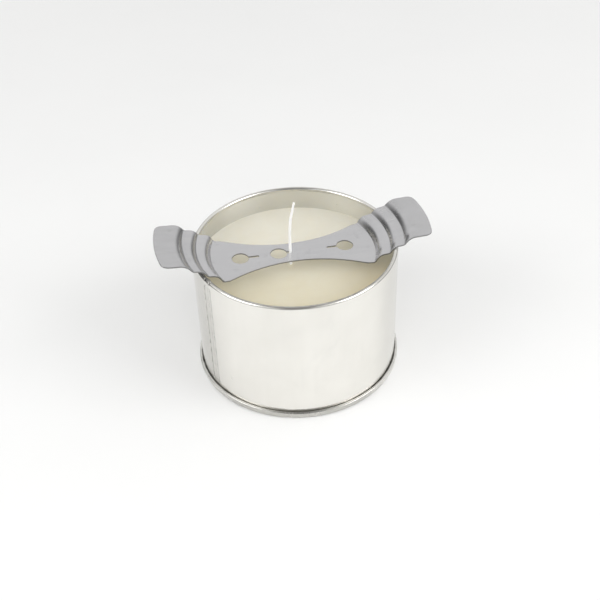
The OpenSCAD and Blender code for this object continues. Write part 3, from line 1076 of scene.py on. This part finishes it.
def inside(point, outline):
    x, y = point
    px, py = outline[:, 0], outline[:, 1]
    qx, qy = np.roll(px, -1), np.roll(py, -1)
    straddles = (py > y) != (qy > y)
    # level edges divide by zero, and are left out by straddles
    with np.errstate(divide="ignore", invalid="ignore"):
        crossing = (qx - px) * (y - py) / (qy - py) + px
    return bool(np.count_nonzero(straddles & (x < crossing)) % 2)


class BarMesh:
    """The bar's vertices, faces and darkness (cut edges, painted shade in the dents and on the
    steps) as they are put together.
    """

    def __init__(self):
        self.verts, self.faces, self.dark = [], [], []

    def add(self, plan, height):
        """Add plan points at a height in the sheet; returns their indices."""
        first = len(self.verts)
        along, across = plan[:, 0], plan[:, 1]
        self.dark.extend(edge_and_shade_darkness(along, across, height))
        self.verts.extend(np.c_[bar_form(along, across, height)])
        return np.arange(first, first + len(plan))

    def add_face(self, face, forward):
        self.faces.append(face if forward else face[::-1])

    def join(self, upper, lower, outer):
        """Wall between two loops of the same length."""
        for i in range(len(upper)):
            j = (i + 1) % len(upper)
            self.add_face((upper[i], lower[i], lower[j], upper[j]), outer)


def add_wing(bar, side, inset, height, is_top):
    """Polar grid of one wing (side 1 right, -1 left); returns its indices by row and column."""
    radii = wing_radii(inset)
    rows = []
    for radius in radii:
        half = half_angle(radius, inset)
        angles = np.linspace(-half, half, WING_COLUMNS)
        rows.append(np.c_[side * radius * np.cos(angles), side * radius * np.sin(angles)])
    index = bar.add(np.concatenate(rows), height).reshape(len(radii), WING_COLUMNS)
    for i in range(len(radii) - 1):
        for j in range(WING_COLUMNS - 1):
            bar.add_face((index[i, j], index[i + 1, j], index[i + 1, j + 1], index[i, j + 1]),
                         is_top)
    return index


def web_fill(outline, holes):
    """Grid points inside the web, clear of its outline and its holes."""
    def clear_of(point, loop, gap):
        return np.min(np.hypot(*(loop - point).T)) > gap

    points = []
    for along in np.arange(-28.5, 28.6, 1.25):
        for across in np.arange(-12.5, 12.6, 1.25):
            point = np.array([along, across])
            if inside(point, outline) and clear_of(point, outline, 0.7) and all(
                    not inside(point, hole) and clear_of(point, hole, 0.6) for hole in holes):
                points.append(point)
    return np.array(points)


def add_web(bar, right, left, inset, height, is_top):
    """Triangulated web between the wings; returns the indices of both waists and the holes."""
    half = half_angle(WEB_R, inset)
    right_arc = np.array([polar(WEB_R, a) for a in np.linspace(-half, half, WING_COLUMNS)])
    upper, lower = waists(inset)
    outline = np.concatenate([right_arc, upper, -right_arc, lower])
    holes = [keyhole(inset, *spec) for spec in KEYHOLES]
    upper_index = bar.add(upper, height)
    lower_index = bar.add(lower, height)
    hole_index = [bar.add(hole, height) for hole in holes]
    fill = web_fill(outline, holes)
    index = np.concatenate([right[0], upper_index, left[0], lower_index, *hole_index,
                            bar.add(fill, height)])
    points = [tuple(p) for p in np.concatenate([outline, *holes, fill])]
    edges, first = [], 0
    for loop in (outline, *holes):
        edges += [(first + i, first + (i + 1) % len(loop)) for i in range(len(loop))]
        first += len(loop)
    placed, _, triangles, origins, _, _ = delaunay_2d_cdt(
        [Vector(p) for p in points], edges, [], 0, 1e-7)
    source = [origin[0] if origin else None for origin in origins]
    for triangle in triangles:
        if any(source[i] is None for i in triangle):
            continue
        centre = np.mean([np.array(placed[i]) for i in triangle], axis=0)
        if not inside(centre, outline) or any(inside(centre, hole) for hole in holes):
            continue
        a, b, c = (np.array(points[source[i]]) for i in triangle[:3])
        area = (b[0] - a[0]) * (c[1] - a[1]) - (b[1] - a[1]) * (c[0] - a[0])
        if abs(area) < 1e-9:
            continue
        bar.add_face(tuple(index[source[i]] for i in triangle), (area > 0) == is_top)
    return upper_index, lower_index, hole_index


def add_skin(bar, inset, height, is_top):
    """The top or the underside; returns its boundary loops, the outer one first."""
    right = add_wing(bar, 1, inset, height, is_top)
    left = add_wing(bar, -1, inset, height, is_top)
    upper, lower, holes = add_web(bar, right, left, inset, height, is_top)

    def wing_loop(wing):
        return [wing[:, 0], wing[-1, 1:], wing[::-1, -1][1:]]

    outer = np.concatenate([*wing_loop(right), upper, *wing_loop(left), lower])
    return [outer, *holes]


def build_bar():
    bar = BarMesh()
    top = add_skin(bar, *EDGE_LEVELS[0], is_top=True)
    bottom = add_skin(bar, *EDGE_LEVELS[-1], is_top=False)
    for hole, loop, last in zip((None, *KEYHOLES), top, bottom):
        outer = hole is None
        for inset, height in EDGE_LEVELS[1:-1]:
            plan = bar_outline(inset) if outer else keyhole(inset, *hole)
            lower = bar.add(plan, height)
            bar.join(loop, lower, outer)
            loop = lower
        bar.join(loop, last, outer)
    verts = np.c_[bar_to_can(*np.array(bar.verts).T)]
    return make_mesh("wick_centring_bar", verts, bar.faces, 62, edge=bar.dark)


# --------------------------------------------------------------------------------------
# floor, world, lights, camera (metres and watts)
# --------------------------------------------------------------------------------------
BACKDROP = 0.93         # brightness of the backdrop to the camera
BACKDROP_COLOUR = (1.0, 1.0, 0.995, 1)


def floor_paper():
    m = Material("floor_paper")
    cloud = m.noise(m.position, scale=9.0, detail=4)
    grain = m.noise(m.position, scale=2500.0, detail=3, rough=0.6)
    paper = m.mix(cloud.fade(0.3, 0.7), (0.90, 0.90, 0.895), (0.92, 0.92, 0.915))
    x, y, _ = m.split(m.position)
    distance = m.radius(x, y)
    # the sheet ends some way off; only reflections and bounced light notice
    far = distance.ease(0.42, 0.60)
    rays = m.node("ShaderNodeLightPath")
    glossy = m.out(rays, "Is Glossy Ray")
    camera = m.out(rays, "Is Camera Ray")
    # reflections see it dark to the left, to the right and at the back left
    side = x.ease(-0.13, -0.21) * y.ease(-0.06, 0.02)
    side = side.max(x.ease(0.24, 0.36, to=(0.0, 0.7)))
    back_left = x.ease(-0.085, -0.135) * y.ease(0.0, 0.03)
    side = side.max(back_left) * glossy
    # straight behind, the white sweep goes on
    bearing = x / y.max(0.02)
    sweep = bearing.ease(-2.2, -1.4) * bearing.ease(0.35, 0.70, to=(1.0, 0.0))
    sweep = sweep * y.ease(0.05, 0.20) * glossy
    far = far * (1.0 - sweep * 0.9)
    dark = far.max(side) * (1.0 - camera)
    m.set(Base_Color=m.mix(dark, paper, (0.10, 0.10, 0.10)), Roughness=0.85,
          Normal=m.bump(grain, strength=0.05, distance=0.00005))
    # to the camera, the sheet fades into the backdrop
    emission = m.node("ShaderNodeEmission")
    emission.inputs[0].default_value = BACKDROP_COLOUR
    emission.inputs[1].default_value = BACKDROP
    blend = m.node("ShaderNodeMixShader")
    m.put(blend.inputs[0], distance.ease(0.22, 0.85) * camera)
    m.put(blend.inputs[1], m.surface)
    m.put(blend.inputs[2], m.out(emission))
    m.put(m.output.inputs[0], m.out(blend))
    return m


def build_floor():
    mesh = bpy.data.meshes.new("floor")
    half = 4.0
    mesh.from_pydata([(-half, -half, 0), (half, -half, 0), (half, half, 0), (-half, half, 0)],
                     [], [(0, 1, 2, 3)])
    floor = bpy.data.objects.new("floor", mesh)
    scene.collection.objects.link(floor)
    floor.location.z = -0.00002     # just under the can
    assign(floor, floor_paper())


def diffuse_room(x, z, abs_x):
    """Dim near the horizon, bright diffusers above it, brighter to the left and the right."""
    sky = z.ease(0.20, 0.62)
    sides = abs_x.ease(0.12, 0.55) * z.ease(0.12, 0.42)
    left = (x * -1.0).ease(-0.2, 0.5)
    low = 0.22 - left * 0.16
    return low + (sky * 0.52 + sides * 0.12)


def glossy_room(x, y, z, abs_x):
    """What the metal sees: a white sweep behind, diffusers to the sides, a dim room overhead
    and in front, and dark stretches low on the left."""
    behind = y.ease(0.20, 0.60)
    aside = abs_x.ease(0.14, 0.45) * z.ease(0.10, 0.40)
    room = aside * (1.0 - behind)
    low_left = (x * -1.0).ease(0.64, 0.84) * (z * -1.0).ease(-0.30, -0.08)
    # the sweep is dimmer near the horizon, most of all to the left and the right
    gloom = 0.22 + x.ease(0.12, 0.42).max((x * -1.0).ease(0.70, 0.88)) * 0.76
    haze = 1.0 - (1.0 - abs(z).ease(0.05, 0.32)) * gloom
    behind = behind * haze
    ambient = 0.14 + abs(z).ease(0.05, 0.35) * 0.13
    level = 1.0 - abs(z).ease(0.05, 0.35)
    ambient = ambient + level * (1.0 - y.ease(-0.05, 0.25)) * 0.20
    shiny = ambient + (behind * 0.50 + room * 0.55)
    low_left = low_left * y.ease(-0.12, 0.16)
    back_left = (x * -1.0).ease(0.58, 0.76) * (z * -1.0).ease(-0.62, -0.36)
    back_left = back_left * y.ease(0.08, 0.28)
    return shiny * (1.0 - low_left.max(back_left) * 0.86)


def build_world():
    world = bpy.data.worlds.new("studio")
    scene.world = world
    graph = Graph(world)
    output = graph.node("ShaderNodeOutputWorld")
    background = graph.node("ShaderNodeBackground")
    graph.put(output.inputs[0], graph.out(background))
    x, y, z = graph.split(graph.out(graph.node("ShaderNodeTexCoord"), "Generated"))
    abs_x = abs(x)
    rays = graph.node("ShaderNodeLightPath")

    def choose(ray, otherwise, value):
        node = graph.node("ShaderNodeMix", data_type="FLOAT")
        graph.put(node.inputs[0], graph.out(rays, ray))
        graph.put(node.inputs[2], otherwise)
        graph.put(node.inputs[3], value)
        return graph.out(node)

    value = choose("Is Glossy Ray", diffuse_room(x, z, abs_x), glossy_room(x, y, z, abs_x))
    value = choose("Is Camera Ray", value, BACKDROP)
    background.inputs[0].default_value = BACKDROP_COLOUR
    graph.put(background.inputs[1], value)


# name, place, height aimed at on the can's axis, width and height, power, seen in reflections
LIGHTS = (
    ("softbox_left", (-0.85, -0.42, 0.66), 0.02, (0.7, 0.6), 3.5, True),
    ("softbox_right", (0.88, -0.38, 0.64), 0.02, (0.7, 0.6), 4.5, True),
    ("fill_front", (0.05, -1.10, 0.45), 0.03, (0.8, 0.4), 0.9, False),
    ("softbox_front", (-0.10, -0.80, 0.95), 0.02, (0.9, 0.5), 2.4, False),
)


def build_lights():
    for name, place, aim_z, size, power, glossy in LIGHTS:
        data = bpy.data.lights.new(name, "AREA")
        data.shape = "RECTANGLE"
        data.size, data.size_y = size
        data.energy = power
        light = bpy.data.objects.new(name, data)
        scene.collection.objects.link(light)
        light.location = place
        light.rotation_mode = "QUATERNION"
        aim = Vector((0, 0, aim_z)) - Vector(place)
        light.rotation_quaternion = aim.to_track_quat("-Z", "Y")
        light.visible_camera = False
        light.visible_glossy = glossy


CAMERA_PLACE = (1.222, -292.72, 264.29)     # mm
CAMERA_PITCH = math.radians(39.324)         # below level
CAMERA_ROLL = math.radians(-2.002)


def build_camera():
    data = bpy.data.cameras.new("camera")
    camera = bpy.data.objects.new("camera", data)
    scene.collection.objects.link(camera)
    scene.camera = camera
    data.sensor_width = 36.0
    data.lens = 58.836
    data.clip_start, data.clip_end = 0.01, 20.0
    forward = Vector((0, math.cos(CAMERA_PITCH), -math.sin(CAMERA_PITCH)))
    level = Vector((1, 0, 0))
    upright = level.cross(forward)
    right = level * math.cos(CAMERA_ROLL) + upright * math.sin(CAMERA_ROLL)
    up = upright * math.cos(CAMERA_ROLL) - level * math.sin(CAMERA_ROLL)
    rows = [(right[i], up[i], -forward[i], CAMERA_PLACE[i] * MM) for i in range(3)]
    camera.matrix_world = Matrix((*rows, (0, 0, 0, 1)))


# --------------------------------------------------------------------------------------
# put it together
# --------------------------------------------------------------------------------------
wall = build_wall()
assign(wall, tinplate("tinplate_wall", tone=0.975, rough=0.17, shade_grime_strength=0.8))
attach(wall, "mold")
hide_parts("mold_wall")

base = build_base()
assign(base, tinplate("tinplate_base", tone=0.66, rough=0.27, shade_grime_strength=0.9, painted_side_light=0.8))
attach(base, "mold")
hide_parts("mold_base")

wax = build_wax()
assign(wax, ivory_wax())
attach(wax, "mold")
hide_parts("wax")

wick = build_wick()
assign(wick, cotton())
WICK_X * MM
WICK_Y * MM
WICK_X * MM
WICK_Y * MM
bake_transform(wick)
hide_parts("wick", "wick_free_end")

bar = build_bar()
assign(bar, stainless())
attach(bar, "bar")
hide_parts("wick_bar")

# pieces kept as they were loaded
for name, make_material in (("seam_compound", sealing_compound),
                            ("side_seam_cement", seam_cement),
                            ("wick_sustainer", foot_metal),
                            ("wick_sticker", adhesive_foam)):
    assign(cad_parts[name], make_material())

build_floor()
build_world()
build_lights()
build_camera()

scene.view_settings.view_transform = "Standard"
scene.view_settings.look = "None"
scene.view_settings.exposure = 0.0
scene.view_settings.gamma = 1.0
